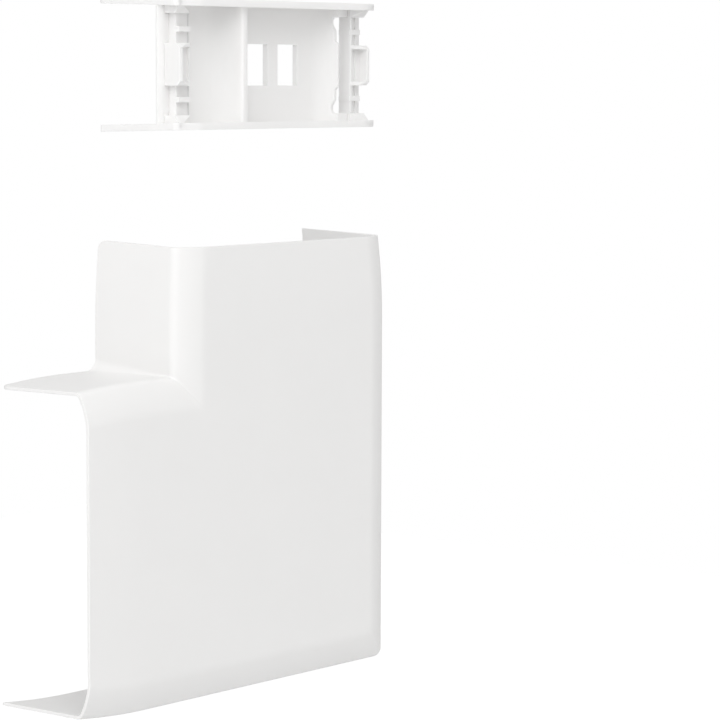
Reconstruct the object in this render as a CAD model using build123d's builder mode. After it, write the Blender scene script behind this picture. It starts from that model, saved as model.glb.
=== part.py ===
from build123d import *
from math import acos, cos, degrees, radians, sin
import os

# Flat angle for 40 x 110 mm wall trunking, in millimetres.
# The wall is the plane Y = 0 and the front face looks along -Y. The origin is where the centre
# lines of the two legs cross on the wall. One leg opens upwards, the other towards -X.

# Hood over the bend
leg_width = 115.0            # outside width of each leg
hood_depth = 42.0            # from the wall to the front face
wall = 1.2                   # moulded wall
arm_length = 46.0            # from the inner corner to the open end, along the wall
tight_radius = 3.6           # long edges: a tight arc off the side wall
tight_angle = 62.0           # turn taken by the tight arc, degrees
easy_radius = 32.0           # then an easy arc, almost a facet
easy_angle = 15.0
front_radius = 12.0          # and a last arc that ends in the front face
side_taper_length = 33.0     # stretch over which the side walls draw in
side_taper = 1.9
front_taper_length = 30.0    # stretch over which the front face draws in
front_taper = 0.95
end_lean = 1.25              # the open end reaches this much further at the wall than in front
inner_corner_radius = 4.5    # between the two short side walls, at the wall
inner_corner_front = 0.5     # the same corner where it meets the long edges
outer_corner_radius = 3.4    # between the two long side walls
heel_radius = 3.0            # rear corners of the short side walls at the open ends

# Coupling frame that slides into the upper leg. Levels are measured out from the wall, and places
# along X in from the frame's nearer side, or from its left side for the web.
frame_clearance = 0.4        # to the narrowest place inside the leg
frame_height = 47.4
frame_gap = 38.2             # shown drawn out this far above the open end
shelf = 2.5                  # upper and lower shelf
shelf_rise = 1.1             # the shelves close towards the front by this much each
arm_width = 2.5              # rear arms that reach back to the wall
web = 2.2                    # standing walls of the frame
web_seat = 0.5               # they run this far into the thickness of each shelf
web_level = 25.5             # rear face of the web
web_margin = 1.0             # the web stops this far short of each side
partition_place = 33.4       # partition between the two troughs
partition_width = 3.2
partition_level = 37.0       # its front edge
partition_nose = 0.9
trough_radius = 9.0          # sweep of each trough's floor up its right wall
trough_wall_place = 89.8     # inner face of the wall that ends the second trough
trough_wall_level = 35.2     # its front edge
scallop = 2.8                # depth of the two notches in that edge
scallop_step = 1.1           # taken at once, beside the middle
scallop_ease = 2.0           # stretch over which it is taken
window_width = 10.8
window_height = 14.8
window_place = 51.8          # centre of the first window
window_pitch = 16.4
end_wall_place = 9.4         # centre of each end wall
end_wall = 2.6
end_wall_level = 33.6
slot_level = 28.8            # the right end wall stands free of the web and starts here
slot_width = 1.6             # web beyond the right end wall, set back from it
rail_place = 3.9             # centre of each latch rail
rail_thickness = 1.6
rail_rear = 29.0
rail_front = 32.7
latch_place = 1.7            # outer face of the latch box
latch_rear = 27.5
latch_front = 36.1
latch_height = 14.6
latch_wall = 1.5
latch_chamfer = 1.2
lug_height = 3.4
lug_chamfer = 2.2
peg_height = 1.9
peg_depth = 1.8
peg_place = 12.2             # above and below the middle

half_width = leg_width / 2
leg_end = half_width + arm_length
mitre = Plane(origin=(0, 0, 0), x_dir=(0, 1, 0), z_dir=(1, 0, 1))
upper_mouth = Plane(origin=(0, 0, leg_end), x_dir=(1, 0, 0), z_dir=(0, -end_lean, hood_depth))
left_mouth = Plane(origin=(-leg_end, 0, 0), x_dir=(0, 0, 1), z_dir=(-hood_depth, -end_lean, 0))


def draw_in(distance, length, amount):
    """How far a face has moved in, on an arc that starts tangent at the given length."""
    return amount * (distance / length) ** 2


def edge_depth(inset):
    """Depth taken up by the three arcs of a long edge, from the side wall to the front face."""
    first = sin(radians(tight_angle))
    second = sin(radians(tight_angle + easy_angle))
    return ((tight_radius - inset) * first + (easy_radius - inset) * (second - first)
            + (front_radius - inset) * (1 - second))


def channel_profile(plane, half, depth, rear, inset):
    """A leg seen from its end: rear edge, two side walls, eased long edges and front face."""
    arcs = [(tight_radius - inset, tight_angle), (easy_radius - inset, easy_angle),
            (front_radius - inset, 90 - tight_angle - easy_angle)]
    with BuildSketch(plane) as profile:
        with BuildLine():
            line = Line((-half, rear), (-half, -(depth - edge_depth(inset))))
            for radius, angle in arcs:
                line = JernArc(line @ 1, line % 1, radius, angle)
            line = Line(line @ 1, (-(line @ 1).X, (line @ 1).Y))
            for radius, angle in reversed(arcs):
                line = JernArc(line @ 1, line % 1, radius, angle)
            line = Line(line @ 1, (half, rear))
            Line(line @ 1, (-half, rear))
        make_face()
    return profile.sketch


def corner_filler(radius_rear, radius_front, corner, rear, front):
    """Solid that rounds the corner between the two short side walls, closing towards the front."""
    with BuildPart() as filler:
        for level, radius in ((rear, radius_rear), (front, radius_front)):
            with BuildSketch(Plane(origin=(0, level, 0), x_dir=(1, 0, 0), z_dir=(0, -1, 0))):
                with BuildLine():
                    low = (-corner - radius, corner)
                    high = (-corner, corner + radius)
                    mid = (-corner - radius + radius * cos(radians(45)),
                           corner + radius - radius * sin(radians(45)))
                    ThreePointArc(low, mid, high)
                    Polyline(high, (-corner + wall / 2, corner + radius),
                             (-corner + wall / 2, corner - wall / 2),
                             (-corner - radius, corner - wall / 2), low)
                make_face()
        loft(ruled=True)
    return filler.part


def bend(inset, rear, reach):
    """Solid bend of two legs, with every face set in by the inset and the ends run on by reach."""
    half = half_width - inset
    depth = hood_depth - inset
    start = leg_end - side_taper_length
    count = 5
    with BuildPart() as solid:
        extrude(channel_profile(Plane.XY.offset(-half_width), half, depth, rear, inset),
                amount=start + half_width)
        sections = []
        for index in range(count):
            distance = (side_taper_length + reach) * index / (count - 1)
            front_distance = max(0.0, distance - side_taper_length + front_taper_length)
            side = draw_in(distance, side_taper_length, side_taper)
            front = draw_in(front_distance, front_taper_length, front_taper)
            sections.append(channel_profile(Plane.XY.offset(start + distance), half - side,
                                            depth - front, rear, inset))
        loft(sections)
        split(bisect_by=mitre, keep=Keep.TOP)
        mirror(about=mitre)
        add(corner_filler(inner_corner_radius + inset, inner_corner_front + inset, half, rear,
                          -(depth - edge_depth(inset))))
        long_corner = solid.edges().filter_by(Axis.Y).sort_by_distance((half, -depth / 2, -half))[0]
        fillet(long_corner, outer_corner_radius - inset)
    return solid.part


with BuildPart() as hood:
    add(bend(0.0, 0.0, 3.0))
    add(bend(wall, 3.0, 6.0), mode=Mode.SUBTRACT)
    split(bisect_by=upper_mouth, keep=Keep.BOTTOM)
    split(bisect_by=left_mouth, keep=Keep.BOTTOM)
    heel = half_width - side_taper - wall / 2
    heels = [hood.edges().sort_by_distance((-heel, 0, leg_end))[0],
             hood.edges().sort_by_distance((-leg_end, 0, heel))[0]]
    fillet(heels, heel_radius)
hood.part.label = "hood"

frame_half = half_width - side_taper - wall - frame_clearance
frame_depth = hood_depth - front_taper - wall - frame_clearance
frame_base = leg_end + frame_gap
frame_middle = frame_base + frame_height / 2
shelf_plane = Plane.XY.offset(frame_base)
middle_plane = Plane.XY.offset(frame_middle)
shelf_under = Plane(origin=(0, 0, frame_base), x_dir=(1, 0, 0), z_dir=(0, shelf_rise, frame_depth))
shelf_over = shelf_under.offset(shelf)
web_front = web_level + web
partition = -frame_half + partition_place
trough_wall = -frame_half + trough_wall_place

with BuildPart() as shelves:
    with BuildSketch(shelf_plane):
        add(channel_profile(Plane.XY, frame_half, frame_depth, -web_level, wall + frame_clearance))
        with Locations((-frame_half, 0), (frame_half - arm_width, 0)):
            Rectangle(arm_width, web_level + wall, align=(Align.MIN, Align.MAX))
    extrude(amount=shelf + 2 * shelf_rise)
    split(bisect_by=shelf_under, keep=Keep.TOP)
    split(bisect_by=shelf_over, keep=Keep.BOTTOM)
    mirror(about=middle_plane)

with BuildPart() as coupling_frame:
    add(shelves.part)
    standing = frame_height - 2 * (shelf_rise + web_seat)
    left_end = -frame_half + web_margin
    with BuildSketch(middle_plane):
        with BuildLine():
            floor_one = Line((left_end, -web_front), (partition - trough_radius, -web_front))
            curve_one = JernArc(floor_one @ 1, (1, 0), trough_radius, -90)
            edge_one = Line(curve_one @ 1, (partition, -partition_level))
            Polyline(edge_one @ 1, (partition + partition_width, -partition_level),
                     (partition + partition_width, -web_front))
            floor_two = Line((partition + partition_width, -web_front),
                             (trough_wall - trough_radius, -web_front))
            wall_turn = degrees(acos(1 - (trough_wall_level - web_front) / trough_radius))
            curve_two = JernArc(floor_two @ 1, (1, 0), trough_radius, -wall_turn)
            outward = Vector(-sin(radians(wall_turn)), -cos(radians(wall_turn)))
            rim = Line(curve_two @ 1, curve_two @ 1 - outward * web)
            back_two = JernArc(rim @ 1, (curve_two % 1) * -1, trough_radius + web, wall_turn)
            Polyline(back_two @ 1, (left_end, -web_level), (left_end, -web_front))
        make_face()
    extrude(amount=standing / 2, both=True)
    nose = coupling_frame.edges().filter_by(Axis.Z).filter_by_position(
        Axis.Y, -partition_level - 0.01, -partition_level + 0.01)
    fillet(nose, partition_nose)

    # side view of the two notches in the front edge of the second trough's wall: a step beside the
    # middle, then a long sweep back that ends sharply near each shelf
    notch = latch_height / 2
    deep = standing / 2 - shelf
    with BuildSketch(Plane.YZ.offset(trough_wall - trough_radius / 2)):
        for way in (-1, 1):
            start_level = frame_middle + way * notch
            step_level = start_level + way * scallop_ease
            end_level = frame_middle + way * (deep - scallop / 2)
            step_front = -trough_wall_level + scallop_step
            sweep_front = -trough_wall_level + scallop
            with BuildLine():
                step = ThreePointArc((-trough_wall_level, start_level),
                                     (-trough_wall_level + scallop_step * 0.7,
                                      start_level + way * scallop_ease / 2),
                                     (step_front, step_level))
                sweep_back = ThreePointArc(step @ 1,
                                           (step_front + (scallop - scallop_step) * 0.4,
                                            (step_level + end_level) / 2),
                                           (sweep_front, end_level))
                Polyline(sweep_back @ 1, (-trough_wall_level, frame_middle + way * deep),
                         (-trough_wall_level - 1, frame_middle + way * deep),
                         (-trough_wall_level - 1, start_level), step @ 0)
            make_face()
    extrude(amount=trough_radius / 2 + web, mode=Mode.SUBTRACT)
    window_centre = -frame_half + window_place + window_pitch / 2
    with BuildSketch(Plane(origin=(window_centre, -web_level, frame_middle), x_dir=(1, 0, 0),
                           z_dir=(0, -1, 0))):
        with GridLocations(window_pitch, 1, 2, 1):
            Rectangle(window_width, window_height)
    extrude(amount=web, mode=Mode.SUBTRACT)

    # end walls, latch rails and the web's short return behind the right rail
    end_centre = frame_half - end_wall_place
    rail = frame_half - rail_place
    latch = frame_half - latch_place
    return_start = end_centre + end_wall / 2 + slot_width
    with BuildSketch(middle_plane):
        with Locations((-end_centre, -(web_level + end_wall_level) / 2)):
            Rectangle(end_wall, end_wall_level - web_level)
        with Locations((end_centre, -(slot_level + end_wall_level) / 2)):
            Rectangle(end_wall, end_wall_level - slot_level)
        with Locations((-rail, -(rail_rear + rail_front) / 2), (rail, -(rail_rear + rail_front) / 2)):
            Rectangle(rail_thickness, rail_front - rail_rear)
        with Locations((return_start, -web_level)):
            Rectangle(frame_half - web_margin - return_start, web, align=(Align.MIN, Align.MAX))
    extrude(amount=standing / 2, both=True)

    # latch boxes, lugs and pegs, the same at both ends
    for way in (-1, 1):
        outer = way * latch
        inner = way * end_centre
        with BuildSketch(middle_plane) as latch_plan:
            with BuildLine():
                Polyline((inner, -slot_level), (outer, -latch_rear), (outer, -latch_front),
                         (outer - way * latch_wall, -latch_front), (inner, -end_wall_level), close=True)
            make_face()
        extrude(amount=latch_height / 2, both=True)
        with BuildSketch(middle_plane):
            with BuildLine():
                recess = inner + way * end_wall / 2
                Polyline((recess, -slot_level - latch_wall), (outer - way * latch_wall, -rail_rear),
                         (outer - way * latch_wall, -latch_front - 1), (recess, -latch_front - 1),
                         close=True)
            make_face()
        extrude(amount=latch_height / 2 - latch_wall, both=True, mode=Mode.SUBTRACT)
        for level in (-1, 1):
            lug_level = frame_middle + level * (standing / 2 - lug_height / 2)
            with BuildSketch(Plane.XY.offset(lug_level)):
                add(latch_plan.sketch.moved(Location((0, 0, -frame_middle))))
            extrude(amount=lug_height / 2, both=True)
            peg_inner = end_centre + end_wall / 4
            peg_outer = rail + rail_thickness / 2
            with BuildSketch(Plane.XY.offset(frame_middle + level * peg_place)):
                with Locations((way * (peg_inner + peg_outer) / 2, -rail_front)):
                    Rectangle(peg_outer - peg_inner, peg_depth, align=(Align.CENTER, Align.MAX))
            extrude(amount=peg_height / 2, both=True)

        # the front corners of the lugs and of the latch box slope off
        slopes = ((standing / 2 - lug_height, 1, lug_chamfer), (latch_height / 2, -1, latch_chamfer))
        with BuildSketch(Plane.YZ.offset(inner)):
            for height, turn, size in slopes:
                for level in (-1, 1):
                    tip_level = frame_middle + level * height
                    with BuildLine():
                        Polyline((-latch_front, tip_level), (-latch_front + size, tip_level),
                                 (-latch_front, tip_level + level * turn * size), close=True)
                    make_face()
        extrude(amount=outer - inner, mode=Mode.SUBTRACT)
coupling_frame.part.label = "coupling_frame"

print("hood", hood.part.bounding_box(), hood.part.is_valid, len(hood.part.solids()))
print("frame", coupling_frame.part.bounding_box(), coupling_frame.part.is_valid,
      len(coupling_frame.part.solids()))

os.makedirs("parts", exist_ok=True)
export_step(hood.part, "parts/hood.step")
export_step(coupling_frame.part, "parts/coupling_frame.step")
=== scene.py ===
import bmesh
import bpy
import numpy as np
from mathutils import Matrix, Vector


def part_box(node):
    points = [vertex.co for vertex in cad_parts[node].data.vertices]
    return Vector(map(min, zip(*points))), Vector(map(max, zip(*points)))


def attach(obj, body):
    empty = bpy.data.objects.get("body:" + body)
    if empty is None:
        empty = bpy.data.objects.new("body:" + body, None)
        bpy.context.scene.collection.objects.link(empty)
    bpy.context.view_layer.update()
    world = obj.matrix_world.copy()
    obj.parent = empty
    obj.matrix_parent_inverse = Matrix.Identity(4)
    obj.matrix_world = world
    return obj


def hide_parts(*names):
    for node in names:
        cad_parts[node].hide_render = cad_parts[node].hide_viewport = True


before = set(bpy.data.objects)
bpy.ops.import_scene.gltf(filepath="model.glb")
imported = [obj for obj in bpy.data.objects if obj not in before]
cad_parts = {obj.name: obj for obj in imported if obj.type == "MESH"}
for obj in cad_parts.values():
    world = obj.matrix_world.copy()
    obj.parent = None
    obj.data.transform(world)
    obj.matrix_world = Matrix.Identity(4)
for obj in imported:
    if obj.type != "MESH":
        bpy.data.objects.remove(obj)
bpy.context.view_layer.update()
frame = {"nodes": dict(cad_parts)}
print("frame loaded:", ", ".join(frame["nodes"]))

mm = 0.001


def placed(name, data):
    # a new object in the scene
    piece = bpy.data.objects.new(name, data)
    bpy.context.collection.objects.link(piece)
    return piece


# Camera: stands in front of the part and to its left, a little above its middle, and looks down slightly

view = {
    "place": (-0.80537, -0.74031, 0.16307),
    "forward": (0.76698, 0.63438, -0.09645),
    "right": (0.63762, -0.77034, 0.00358),
    "lens": 148.73,
    "sensor": 36,
    "clip": (0.01, 50),
}


def makeCamera(v):
    data = bpy.data.cameras.new("viewCamera")
    data.sensor_width = v["sensor"]
    data.lens = v["lens"]
    data.clip_start, data.clip_end = v["clip"]
    cam = placed("viewCamera", data)
    forward = Vector(v["forward"]).normalized()
    right = Vector(v["right"])
    right = (right - forward * right.dot(forward)).normalized()
    up = right.cross(forward)
    turn = Matrix((right, up, -forward)).transposed()
    cam.matrix_world = Matrix.Translation(v["place"]) @ turn.to_4x4()
    bpy.context.scene.camera = cam


makeCamera(view)
print("camera placed")


# Moulded white plastic: satin, with a very fine skin and a faint cloudiness of the white

plastic = {
    "colour": (0.865, 0.86, 0.853),
    "cloud": (0.85, 0.845, 0.838),
    "cloudSize": 55.0,
    "cloudDetail": 4,
    "roughness": (0.48, 0.54),
    "shine": 0.5,
    "skinSize": 2600.0,
    "skinDetail": 2,
    "skinDepth": 0.00001,
    "skinStrength": 0.35,
    "glow": 0.0,  # share of the light that spreads inside the plastic
    "glowDepth": 0.002,
}


def makePlastic(name, p):
    mat = bpy.data.materials.new(name)
    mat.use_nodes = True
    nodes, links = mat.node_tree.nodes, mat.node_tree.links
    shader = nodes["Principled BSDF"]
    place = nodes.new("ShaderNodeTexCoord")

    def noise(size, detail):
        node = nodes.new("ShaderNodeTexNoise")
        node.inputs["Scale"].default_value = size
        node.inputs["Detail"].default_value = detail
        links.new(place.outputs["Object"], node.inputs["Vector"])
        return node.outputs["Fac"]

    cloud = noise(p["cloudSize"], p["cloudDetail"])
    skin = noise(p["skinSize"], p["skinDetail"])
    tone = nodes.new("ShaderNodeMix")
    tone.data_type = "RGBA"
    tone.inputs["A"].default_value = (*p["colour"], 1)
    tone.inputs["B"].default_value = (*p["cloud"], 1)
    links.new(cloud, tone.inputs["Factor"])
    links.new(tone.outputs["Result"], shader.inputs["Base Color"])
    gloss = nodes.new("ShaderNodeMapRange")
    gloss.inputs["To Min"].default_value = p["roughness"][0]
    gloss.inputs["To Max"].default_value = p["roughness"][1]
    links.new(skin, gloss.inputs["Value"])
    links.new(gloss.outputs["Result"], shader.inputs["Roughness"])
    bump = nodes.new("ShaderNodeBump")
    bump.inputs["Strength"].default_value = p["skinStrength"]
    bump.inputs["Distance"].default_value = p["skinDepth"]
    links.new(skin, bump.inputs["Height"])
    links.new(bump.outputs["Normal"], shader.inputs["Normal"])
    shader.inputs["Specular IOR Level"].default_value = p["shine"]
    shader.inputs["Subsurface Weight"].default_value = p["glow"]
    shader.inputs["Subsurface Radius"].default_value = (1, 1, 1)
    shader.inputs["Subsurface Scale"].default_value = p["glowDepth"]
    return mat


hoodPlastic = makePlastic("hoodPlastic", plastic)
framePlastic = makePlastic("framePlastic", {
    **plastic,
    "colour": (0.862, 0.858, 0.852),
    "cloud": (0.847, 0.842, 0.836),
    "glow": 0.7,
})
print("plastic made")


# Long edge of the mouldings: arcs one after the other, from the side wall to the front face. With t the
# turn so far, an arc of radius r that starts at turn a has gone r * (cos a - cos t) across and
# r * (sin t - sin a) out.

edgeArcs = {
    "radii": (3.6, 32.0, 12.0),  # mm
    "turns": (62.0, 15.0, 13.0),  # degrees, 90 in all
    "steps": 8,
}


def easedEdge(e, inset):
    turns = np.cumsum((0, *np.radians(e["turns"])))
    across, out, lean = np.zeros(1), np.zeros(1), np.zeros(1)
    for radius, a, b in zip(e["radii"], turns, turns[1:]):
        t = np.linspace(a, b, e["steps"] + 1)[1:]
        r = (radius - inset) * mm
        across = np.append(across, across[-1] + r * (np.cos(a) - np.cos(t)))
        out = np.append(out, out[-1] + r * (np.sin(t) - np.sin(a)))
        lean = np.append(lean, t)
    return across, out, lean


def bevelled(piece, width, steps, method):
    edge = piece.modifiers.new("edge", "BEVEL")
    edge.width = width
    edge.segments = steps
    edge.limit_method = method
    edge.harden_normals = True
    return edge


# Coupling frame, in millimetres: places are across it from its middle, levels are out from the wall,
# and heights are above and below its middle. Keys -1 and 1 are its left and right end.

couplingSize = {
    "shelf": 2.5,
    "shelfRise": 1.1,  # the shelves close towards the front by this much each
    "edgeInset": 1.6,
    "arm": 2.5,
    "webRear": 25.5,
    "webFront": 27.7,
    "webSeat": 0.5,  # the web runs this far into each shelf
    "side": 53.9,
    "sideLevel": (26.7, 27.3),  # the web's outer edges are thinner and slope off
    "sideSlope": 1.2,
    "partition": (-20.6, -17.4),
    "partitionLevel": 37.0,
    "partitionNose": 0.9,
    "troughRadius": 9.0,
    "troughFoot": 26.0,  # where the second trough's floor starts to curve up
    "troughLevel": 34.4,
    "troughRim": 1.2,  # thickness of its wall at the front edge
    # steps of the notches in that edge: height where each starts, height it takes, and its depth
    "notch": ((7.4, 1.6, 1.35), (12.2, 3.0, 1.2), (16.3, 1.3, -0.6)),
    "notchClear": (3.0, 4.0),  # they start past the trough's foot and end short of the slot's corner
    "window": (10.8, 14.8),
    "windows": (-2.2, 14.2),
    "windowLevel": (20.0, 30.0),  # what cuts them goes through the web
    "endWall": (43.4, 44.6),
    "endWallLevel": 33.0,
    "slotCorner": 45.9,
    "floorLevel": {-1: 31.1, 1: 31.2},  # recess floor behind the rail
    "rail": (48.0, 49.1),
    "railLevel": 31.6,
    "marginLevel": {-1: 28.3, 1: 29.5},  # outside of the rail
    "slit": (42.2, 42.55, 29.2),  # its two sides and its floor
    "step": 41.7,  # left of this the floor is raised
    "boxSide": 51.3,
    "boxRear": 27.4,
    "boxLevel": 35.7,
    "boxHalf": 7.35,
    "boxWall": 1.4,
    "boxRim": (0.5, 0.2),  # width of the pocket's inner rim, and its rise
    "boxFloor": {-1: (32.0, 33.5), 1: (29.8, 32.0)},  # the pocket's, from the end wall outwards
    "boxSlope": 1.6,
    "pocketSeat": 0.3,  # the pocket stops short of the box's outsides
    "lugHeight": 17.65,
    "lugSlope": (2.9, 3.2),
    "slopeStart": 0.2,  # the slopes start outside of a face
    "bridge": 37.4,
    "bridgeSeat": 0.5,
    "peg": (12.2, 1.9, 43.1, 49.1),  # height of its middle, thickness, and its two ends
    "lap": 1.0,  # solids run into each other and cutters past them
    "arcPoints": 14,
    "nosePoints": 5,
    "notchPoints": 30,
    "weld": 0.002,
    "flatTurn": 0.6,  # degrees: faces that turn less than this become one
    "edge": 0.18,
    "edgeSteps": 2,
    "edgeTurn": 40.0,  # degrees
}


def prismMesh(name, prisms):
    # Each prism is an outline of pairs carried from low to high: pairs of (place, level) go up, and
    # pairs of (level, height) go across. Low and high may differ from point to point.
    points, faces, start = [], [], 0
    for way, outline, low, high in prisms:
        first, second = np.asarray(outline, float).T
        for reach in (low, high):
            carried = reach + 0 * first
            upright = (first, -second, carried)
            lying = (carried, -first, second)
            points.append(np.stack(upright if way == "up" else lying, axis=-1))
        ring = start + np.arange(first.size)
        following = np.roll(ring, -1)
        faces += [ring[::-1].tolist(), (ring + first.size).tolist()]
        faces += np.stack((ring, following, following + first.size, ring + first.size), -1).tolist()
        start += 2 * first.size
    mesh = bpy.data.meshes.new(name)
    mesh.from_pydata((np.concatenate(points) * mm).tolist(), [], faces)
    bm = bmesh.new()
    bm.from_mesh(mesh)
    bmesh.ops.recalc_face_normals(bm, faces=bm.faces)
    bm.to_mesh(mesh)
    bm.free()
    return placed(name, mesh)


def fused(name, solids, cutters, weld, flatTurn):
    # the solids become one, the cutters are taken away, and neighbours in one plane become one face
    body = prismMesh(name + "Solids", solids)
    knife = prismMesh(name + "Cutters", cutters)
    cut = body.modifiers.new("cut", "BOOLEAN")
    cut.operation = "DIFFERENCE"
    cut.solver = "EXACT"
    cut.use_self = True
    cut.object = knife
    graph = bpy.context.evaluated_depsgraph_get()
    mesh = bpy.data.meshes.new_from_object(body.evaluated_get(graph))
    mesh.name = name
    bpy.data.objects.remove(body)
    bpy.data.objects.remove(knife)
    bm = bmesh.new()
    bm.from_mesh(mesh)
    bmesh.ops.remove_doubles(bm, verts=bm.verts, dist=weld * mm)
    bmesh.ops.dissolve_limit(bm, angle_limit=np.radians(flatTurn), verts=bm.verts, edges=bm.edges)
    bm.to_mesh(mesh)
    bm.free()
    return placed(name, mesh)


def shelfOutline(c, half, depth):
    # rear arms, sides and front edge of a shelf, seen from above
    across, out, lean = easedEdge(edgeArcs, c["edgeInset"])
    place = -half + across / mm
    level = depth - (out[-1] - out) / mm
    place = np.concatenate(([-half], place, -place[::-1], [half]))
    level = np.concatenate(([0], level, level[::-1], [0]))
    inner = half - c["arm"]
    place = np.append(place, (inner, inner, -inner, -inner))
    level = np.append(level, (0, c["webRear"], c["webRear"], 0))
    return np.stack((place, level), axis=-1)


def arcPoints(foot, radius, centre, t):
    # place = foot + r * sin t, level = centre - r * cos t
    return np.stack((foot + radius * np.sin(t), centre - radius * np.cos(t)), axis=-1)


def webOutline(c):
    # Floor of the first trough, a quarter of a circle up the partition, its rounded nose, floor of the
    # second trough and an arc up its wall. Behind that wall the radius is larger by a thickness that
    # falls off evenly with the turn.
    rear, front, radius = c["webRear"], c["webFront"], c["troughRadius"]
    left, right = c["partition"]
    nose, tip = c["partitionNose"], c["partitionLevel"]
    centre = front + radius
    t = np.linspace(0, np.arccos((centre - tip + nose) / radius), c["arcPoints"])
    firstTrough = arcPoints(left - radius, radius, centre, t)
    turn = np.linspace(0, np.pi / 2, c["nosePoints"])[:, None]
    leftNose = (left + nose, tip - nose) + nose * np.hstack((-np.cos(turn), np.sin(turn)))
    rightNose = (right - nose, tip - nose) + nose * np.hstack((np.sin(turn), np.cos(turn)))
    t = np.linspace(0, np.arccos((centre - c["troughLevel"]) / radius), c["arcPoints"])
    thick = np.linspace(front - rear, c["troughRim"], t.size)
    wallFront = arcPoints(c["troughFoot"], radius, centre, t)
    wallRear = arcPoints(c["troughFoot"], radius + thick, centre, t)
    return np.concatenate(([(-c["step"], rear), (-c["step"], front)], firstTrough, leftNose, rightNose,
                           [(right, front)], wallFront, wallRear[::-1]))


def notchOutline(c, upward):
    # side view of a notch: its depth is a sum of smooth steps, each depth * (3 s^2 - 2 s^3), with s
    # going from 0 to 1 over the step's own height
    height = np.linspace(c["notch"][0][0], c["lugHeight"], c["notchPoints"])
    depth = np.zeros_like(height)
    for begin, length, amount in c["notch"]:
        s = np.clip((height - begin) / length, 0, 1)
        depth += amount * (3 * s ** 2 - 2 * s ** 3)
    level = c["troughLevel"] - depth
    clear = c["partitionLevel"]
    return np.concatenate((np.stack((level, upward * height), axis=-1),
                           [(clear, upward * height[-1]), (clear, upward * height[0])]))


def mirrored(outline, way):
    return [(way * place, level) for place, level in outline]


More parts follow.
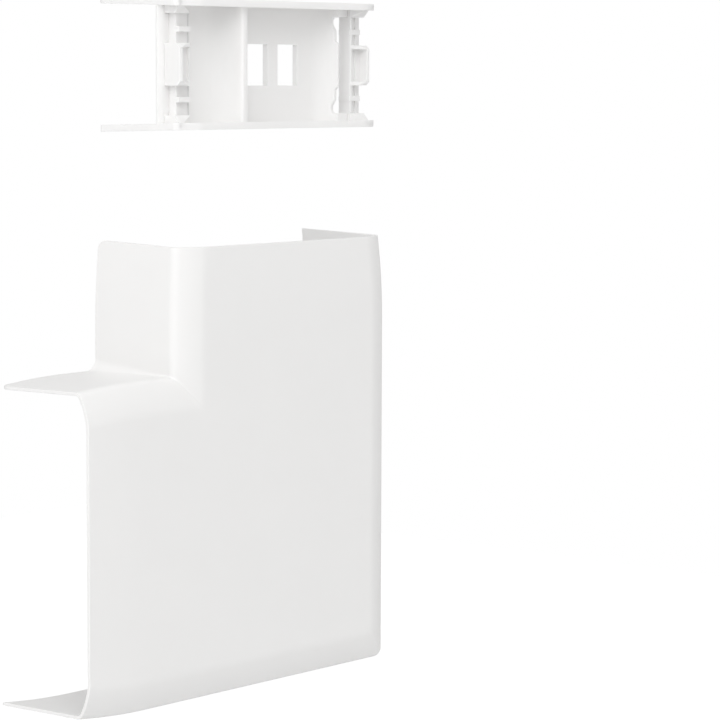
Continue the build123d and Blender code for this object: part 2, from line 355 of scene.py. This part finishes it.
def makeCoupling(c, material):
    low, high = (np.array(corner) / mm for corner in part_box("coupling_frame"))
    half, depth = high[0], -low[1]
    middle = (low[2] + high[2]) / 2
    tall = (high[2] - low[2]) / 2
    stand = tall - c["shelfRise"] - c["webSeat"]
    rear, front = c["webRear"], c["webFront"]
    inner, outer = c["endWall"]
    wallLevel, lap = c["endWallLevel"], c["lap"]
    solids, cutters = [], []

    def stood(outline, start, end):
        return "up", outline, middle + start, middle + end

    # shelves, web, notches and windows
    shelfPlan = shelfOutline(c, half, depth)
    rise = c["shelfRise"] * shelfPlan[:, 1] / depth
    notchEnds = (c["troughFoot"] + c["notchClear"][0], c["slotCorner"] - c["notchClear"][1])
    for upward in (-1, 1):
        solids.append(stood(shelfPlan, upward * (tall - rise), upward * (tall - rise - c["shelf"])))
        cutters.append(("across", notchOutline(c, upward) + (0, middle), *notchEnds))
    solids.append(stood(webOutline(c), -stand, stand))
    width, height = c["window"]
    near, far = c["windowLevel"]
    for place in c["windows"]:
        left, right = place - width / 2, place + width / 2
        sides = [(left, near), (right, near), (right, far), (left, far)]
        cutters.append(stood(sides, -height / 2, height / 2))

    # what stands at each end, full height
    side, slope = c["side"], c["sideSlope"]
    railInner, railOuter = c["rail"]
    slitNear, slitFar, slitLevel = c["slit"]
    for way in (-1, 1):
        floor, margin = c["floorLevel"][way], c["marginLevel"][way]
        if way > 0:
            end = [(c["slotCorner"], rear), (inner, front), (inner, wallLevel), (outer, wallLevel),
                   (outer, floor)]
        else:
            end = [(c["step"] - lap, rear), (c["step"] - lap, front), (c["step"], front),
                   (c["step"], floor), (slitNear, floor), (slitNear, slitLevel), (slitFar, slitLevel),
                   (slitFar, floor)]
        end += [(railInner, floor), (railInner, c["railLevel"]), (railOuter, c["railLevel"]),
                (railOuter, margin), (side - slope, margin), (side, c["sideLevel"][1]),
                (side, c["sideLevel"][0]), (side - slope, rear)]
        solids.append(stood(mirrored(end, way), -stand, stand))

    # latch boxes, lugs and pegs at each end, and the bridges at the ends of the slot
    boxSide, boxLevel, boxHalf = c["boxSide"], c["boxLevel"], c["boxHalf"]
    boxInner = boxSide - c["boxWall"]
    rimWidth, rimRise = c["boxRim"]
    latch = [(inner, front), (boxSide, c["boxRear"]), (boxSide, boxLevel), (boxInner, boxLevel),
             (inner, wallLevel)]
    pegMiddle, pegThick, pegInner, pegOuter = c["peg"]
    bar = [(pegInner, front), (pegOuter, front), (pegOuter, wallLevel), (pegInner, wallLevel)]
    # where each slope starts, how far it goes back from the front, and how far up or down
    slopes = [(c["lugHeight"] - c["slopeStart"], *c["lugSlope"]),
              (boxHalf + c["slopeStart"], c["boxSlope"], -c["boxSlope"])]
    for way in (-1, 1):
        deep, shallow = c["boxFloor"][way]
        pocket = [(inner, front), (inner, wallLevel), (inner + rimWidth, wallLevel + rimRise),
                  (inner + rimWidth, deep), (boxInner, shallow), (boxInner, boxLevel),
                  (boxSide, boxLevel), (boxSide, c["boxRear"])]
        pocketHalf = boxHalf - c["pocketSeat"]
        solids.append(stood(mirrored(pocket, way), -pocketHalf, pocketHalf))
        ends = sorted((way * (inner - lap), way * (boxSide + lap)))
        for upward in (-1, 1):
            solids.append(stood(mirrored(latch, way), upward * (boxHalf - c["boxWall"]), upward * boxHalf))
            solids.append(stood(mirrored(latch, way), upward * c["lugHeight"], upward * stand))
            peg = upward * pegMiddle
            solids.append(stood(mirrored(bar, way), peg - pegThick / 2, peg + pegThick / 2))
            for start, back, up in slopes:
                foot = middle + upward * start
                head = middle + upward * (start + up * (back + lap) / back)
                wedge = [(boxLevel - back, foot), (boxLevel + lap, foot), (boxLevel + lap, head)]
                cutters.append(("across", wedge, *ends))
    slotStart, seat = c["troughFoot"] + c["troughRadius"], rear + c["bridgeSeat"]
    bridge = [(slotStart - lap, seat), (slotStart, c["troughLevel"]), (c["bridge"], c["troughLevel"]),
              (c["bridge"], c["railLevel"]), (inner + lap, c["railLevel"]), (inner + lap, seat)]
    for upward in (-1, 1):
        solids.append(stood(bridge, upward * c["lugHeight"], upward * stand))

    piece = fused("couplingSkin", solids, cutters, c["weld"], c["flatTurn"])
    piece.data.materials.clear()
    piece.data.materials.append(material)
    piece.data.shade_smooth()
    edge = bevelled(piece, c["edge"] * mm, c["edgeSteps"], "ANGLE")
    edge.angle_limit = np.radians(c["edgeTurn"])
    return piece


couplingSkin = makeCoupling(couplingSize, framePlastic)
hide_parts("coupling_frame")
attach(couplingSkin, "coupling_frame")
print("coupling frame made,", len(couplingSkin.data.polygons), "faces")


# Hood: one moulded wall over both legs

hoodSize = {
    "half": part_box("hood")[1][0],  # half the width of a leg
    "legEnd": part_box("hood")[1][2],  # open end of the upper leg, at the wall
    "depth": 42 * mm,
    "wall": 1.2 * mm,
    "sideTaper": (33 * mm, 1.9 * mm),  # length and amount by which the side walls draw in
    "frontTaper": (30 * mm, 0.95 * mm),
    "endLean": 1.25 * mm,
    "innerCorner": (4.5 * mm, 0.5 * mm),  # at the wall, and where the long edges start
    "outerCorner": 3.4 * mm,
    "mitreEase": 0.4 * mm,  # least radius of a line's turn at the mitre
    "heel": 3 * mm,
    "support": 0.5 * mm,  # narrow faces beside each arc keep the flats flat
    "edge": 0.25 * mm,
    "edgeSteps": 3,
    "sidePoints": 22,
    "frontPoints": 30,
    "heelRows": 8,  # few enough to leave room for the bevel
    "taperRows": 16,
    "flatRows": 14,
    "cornerRows": 7,
    "leanPasses": 3,
}


def spaced(first, last, count, margin):
    # even steps from first to last, with one narrow step at either end
    return np.concatenate(([first], np.linspace(first + margin, last - margin, count), [last]))


def hoodSection(h):
    # Outline of a leg seen from its end, from the rear of the left wall round to the rear of the
    # right one. Wall: across = -half. Then the eased edge. Front: depth out from the wall.
    edgeAcross, edgeOut, edgeLean = easedEdge(edgeArcs, 0)
    wallTop = h["depth"] - edgeOut[-1]
    out = spaced(0, wallTop, h["sidePoints"], h["support"])
    across = np.concatenate((np.full(out.size - 1, -h["half"]), edgeAcross - h["half"]))
    lean = np.concatenate((np.zeros(out.size - 1), edgeLean))
    out = np.concatenate((out[:-1], wallTop + edgeOut))
    front = spaced(across[-1], -across[-1], h["frontPoints"], h["support"])[1:-1]
    x = np.concatenate((across, front, -across[::-1]))
    u = np.concatenate((out, np.full(front.size, h["depth"]), out[::-1]))
    side = np.concatenate((-np.cos(lean), np.zeros(front.size), np.cos(lean[::-1])))
    face = np.sqrt(1 - side ** 2)
    pull = np.clip(-x / -across[-1], -1, 1)  # share of the side taper: 1 on the left, -1 on the right
    push = np.clip(u / wallTop, 0, 1)  # share of the front taper
    return {"x": x, "u": u, "side": side, "face": face, "pull": pull, "push": push}


def hoodSheet(h, line, inset):
    # A line of the section comes down the upper leg at its own distance across, from the open end to
    # the mitre z = -x, turns a quarter about (x - r, -x + r) with its own radius r, and runs out along
    # -X. The lower leg is the upper one mirrored in the mitre: (x, z) becomes (-z, -x).
    # Towards the end the sides draw in by amount * (distance / length) squared, and so does the front.
    x0 = line["x"] - inset * line["side"]
    u0 = line["u"] - inset * line["face"]
    left = line["side"] < 0
    rear, front = h["innerCorner"]
    inner = (rear + (front - rear) * line["push"] + inset) * -line["side"]
    outer = (h["outerCorner"] - inset) * line["side"]
    r = np.where(left, inner, outer) + h["mitreEase"] * line["face"]
    turnStart = -x0 + r
    taperStart = h["legEnd"] - h["sideTaper"][0]
    heelStart = h["legEnd"] - h["heel"] * (1 + h["endLean"] / h["depth"])

    def drawIn(z, taper):
        length, amount = taper
        return amount * (np.clip(z - h["legEnd"] + length, 0, None) / length) ** 2

    end = np.full(x0.size, h["legEnd"])
    for step in range(h["leanPasses"]):  # the open end leans: z = legEnd - endLean * u / depth
        end = h["legEnd"] - h["endLean"] * (u0 - drawIn(end, h["frontTaper"]) * line["push"]) / h["depth"]

    bend = np.linspace(np.pi / 2, 0, h["heelRows"])[:, None]
    curved = left & (line["push"] == 0)  # the rear edge itself follows the round corner
    heelRows = heelStart + (end - heelStart) * np.where(curved, np.sin(bend), bend * 2 / np.pi)
    taperRows = np.linspace(heelStart, taperStart, h["taperRows"])[1:, None] + 0 * x0
    share = np.linspace(0, 1, h["flatRows"])[1:, None]
    flatRows = taperStart + (turnStart + h["support"] - taperStart) * share
    z = np.concatenate((heelRows, taperRows, flatRows))
    x = x0 + drawIn(z, h["sideTaper"]) * line["pull"]
    u = u0 - drawIn(z, h["frontTaper"]) * line["push"]

    # the rear corner at the open end of the short wall is rounded: u is at least
    # heel * (1 - cos), with the sine giving the way along the leg
    lift = np.zeros_like(z)
    lift[:len(bend)] = h["heel"] * (1 - np.cos(bend))
    wallTop = line["u"][line["push"] >= 1].min()
    u = np.where(left & (line["push"] < 1), lift + u * (1 - lift / wallTop), u)

    quarter = np.linspace(0, np.pi / 4, h["cornerRows"])[:, None]
    x = np.concatenate((x, x0 - r + r * np.cos(quarter)))
    u = np.concatenate((u, u0 + 0 * quarter))
    z = np.concatenate((z, turnStart - r * np.sin(quarter)))
    wholeX = np.concatenate((x, -z[-2::-1]))
    wholeU = np.concatenate((u, u[-2::-1]))
    wholeZ = np.concatenate((z, -x[-2::-1]))
    return np.stack((wholeX, -wholeU, wholeZ), axis=-1)


def makeHood(h, material):
    line = hoodSection(h)
    sheets = [hoodSheet(h, line, inset) for inset in (0.0, h["wall"])]
    rows, cols = sheets[0].shape[:2]
    points = np.concatenate([sheet.reshape(-1, 3) for sheet in sheets])
    outer, inner = np.arange(rows * cols * 2).reshape(2, rows, cols)

    def quads(grid):
        return np.stack((grid[:-1, :-1], grid[1:, :-1], grid[1:, 1:], grid[:-1, 1:]), -1).reshape(-1, 4)

    faces = np.concatenate([
        quads(outer),
        quads(inner[::-1]),
        quads(np.stack((inner[:, 0], outer[:, 0]), 1)),
        quads(np.stack((outer[:, -1], inner[:, -1]), 1)),
        quads(np.stack((inner[0], outer[0]))),
        quads(np.stack((outer[-1], inner[-1]))),
    ])
    mesh = bpy.data.meshes.new("hoodSkin")
    mesh.from_pydata(points.tolist(), [], faces.tolist())
    mesh.materials.append(material)
    mesh.shade_smooth()

    # rim edges carry the bevel: both ends lie on the border of one and the same sheet
    border = np.zeros((2, rows, cols), bool)
    border[:, [0, -1]] = True
    border[:, :, [0, -1]] = True
    pairs = np.empty(len(mesh.edges) * 2, np.int32)
    mesh.edges.foreach_get("vertices", pairs)
    pairs = pairs.reshape(-1, 2)
    sheetOf = pairs // (rows * cols)
    rim = border.ravel()[pairs].all(axis=1) & (sheetOf[:, 0] == sheetOf[:, 1])
    weight = mesh.attributes.new("bevel_weight_edge", "FLOAT", "EDGE")
    weight.data.foreach_set("value", rim.astype(np.float32))
    piece = placed("hoodSkin", mesh)
    bevelled(piece, h["edge"], h["edgeSteps"], "WEIGHT")
    return piece


hoodSkin = makeHood(hoodSize, hoodPlastic)
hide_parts("hood")
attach(hoodSkin, "hood")
print("hood made,", len(hoodSkin.data.polygons), "faces")


# Floor, backdrop and light

studio = {
    "floorLevel": -0.30,
    "floorSize": 3.0,
    "floorColour": (0.86, 0.86, 0.86),
    "floorRoughness": 0.9,
    "floorGlow": 0.40,  # added for the camera, so that the lit floor is white and its shadow stays
    "sky": (0.735, 0.56),  # seen from the front of the part, and from behind it
    "aim": (-0.02, -0.02, 0.04),
    "lamps": [
        # name, place, size, power
        ("keyLamp", (-1.30, -1.10, 1.45), 1.6, 20.0),
        ("topLamp", (-0.40, -0.60, 2.30), 1.6, 4.0),
        ("sideLamp", (-1.90, 0.05, -0.05), 0.7, 3.4),
    ],
}


def makeFloor(s):
    # a square grid of four corners
    half = s["floorSize"] / 2
    corners = np.array([[-half, -half, 0], [half, -half, 0], [half, half, 0], [-half, half, 0]])
    corners[:, 2] = s["floorLevel"]
    mesh = bpy.data.meshes.new("floor")
    mesh.from_pydata(corners.tolist(), [], [(0, 1, 2, 3)])
    mat = bpy.data.materials.new("floorPaint")
    mat.use_nodes = True
    nodes, links = mat.node_tree.nodes, mat.node_tree.links
    shader = nodes["Principled BSDF"]
    shader.inputs["Base Color"].default_value = (*s["floorColour"], 1)
    shader.inputs["Roughness"].default_value = s["floorRoughness"]
    rays = nodes.new("ShaderNodeLightPath")
    glow = nodes.new("ShaderNodeMapRange")
    glow.inputs["To Max"].default_value = s["floorGlow"]
    links.new(rays.outputs["Is Camera Ray"], glow.inputs["Value"])
    shader.inputs["Emission Color"].default_value = (1, 1, 1, 1)
    links.new(glow.outputs["Result"], shader.inputs["Emission Strength"])
    mesh.materials.append(mat)
    placed("floor", mesh)


def makeSky(s):
    # white for the camera, and for the light it gives a grey that goes from front to back
    world = bpy.data.worlds.new("studioWorld")
    world.use_nodes = True
    nodes, links = world.node_tree.nodes, world.node_tree.links
    back = nodes["Background"]
    back.inputs["Color"].default_value = (1, 1, 1, 1)
    place = nodes.new("ShaderNodeTexCoord")
    axes = nodes.new("ShaderNodeSeparateXYZ")
    links.new(place.outputs["Generated"], axes.inputs["Vector"])
    sky = nodes.new("ShaderNodeMapRange")
    sky.inputs["From Min"].default_value = -1
    sky.inputs["To Min"].default_value = s["sky"][0]
    sky.inputs["To Max"].default_value = s["sky"][1]
    links.new(axes.outputs["Y"], sky.inputs["Value"])
    rays = nodes.new("ShaderNodeLightPath")
    power = nodes.new("ShaderNodeMix")
    power.inputs["B"].default_value = 1.0
    links.new(rays.outputs["Is Camera Ray"], power.inputs["Factor"])
    links.new(sky.outputs["Result"], power.inputs["A"])
    links.new(power.outputs["Result"], back.inputs["Strength"])
    bpy.context.scene.world = world


def makeLamps(s):
    for name, place, size, power in s["lamps"]:
        lamp = bpy.data.lights.new(name, "AREA")
        lamp.size = size
        lamp.energy = power
        holder = placed(name, lamp)
        toward = Vector(s["aim"]) - Vector(place)
        holder.location = place
        holder.rotation_mode = "QUATERNION"
        holder.rotation_quaternion = toward.to_track_quat("-Z", "Y")


makeFloor(studio)
makeSky(studio)
makeLamps(studio)
bpy.context.scene.view_settings.view_transform = "Standard"
print("studio made")
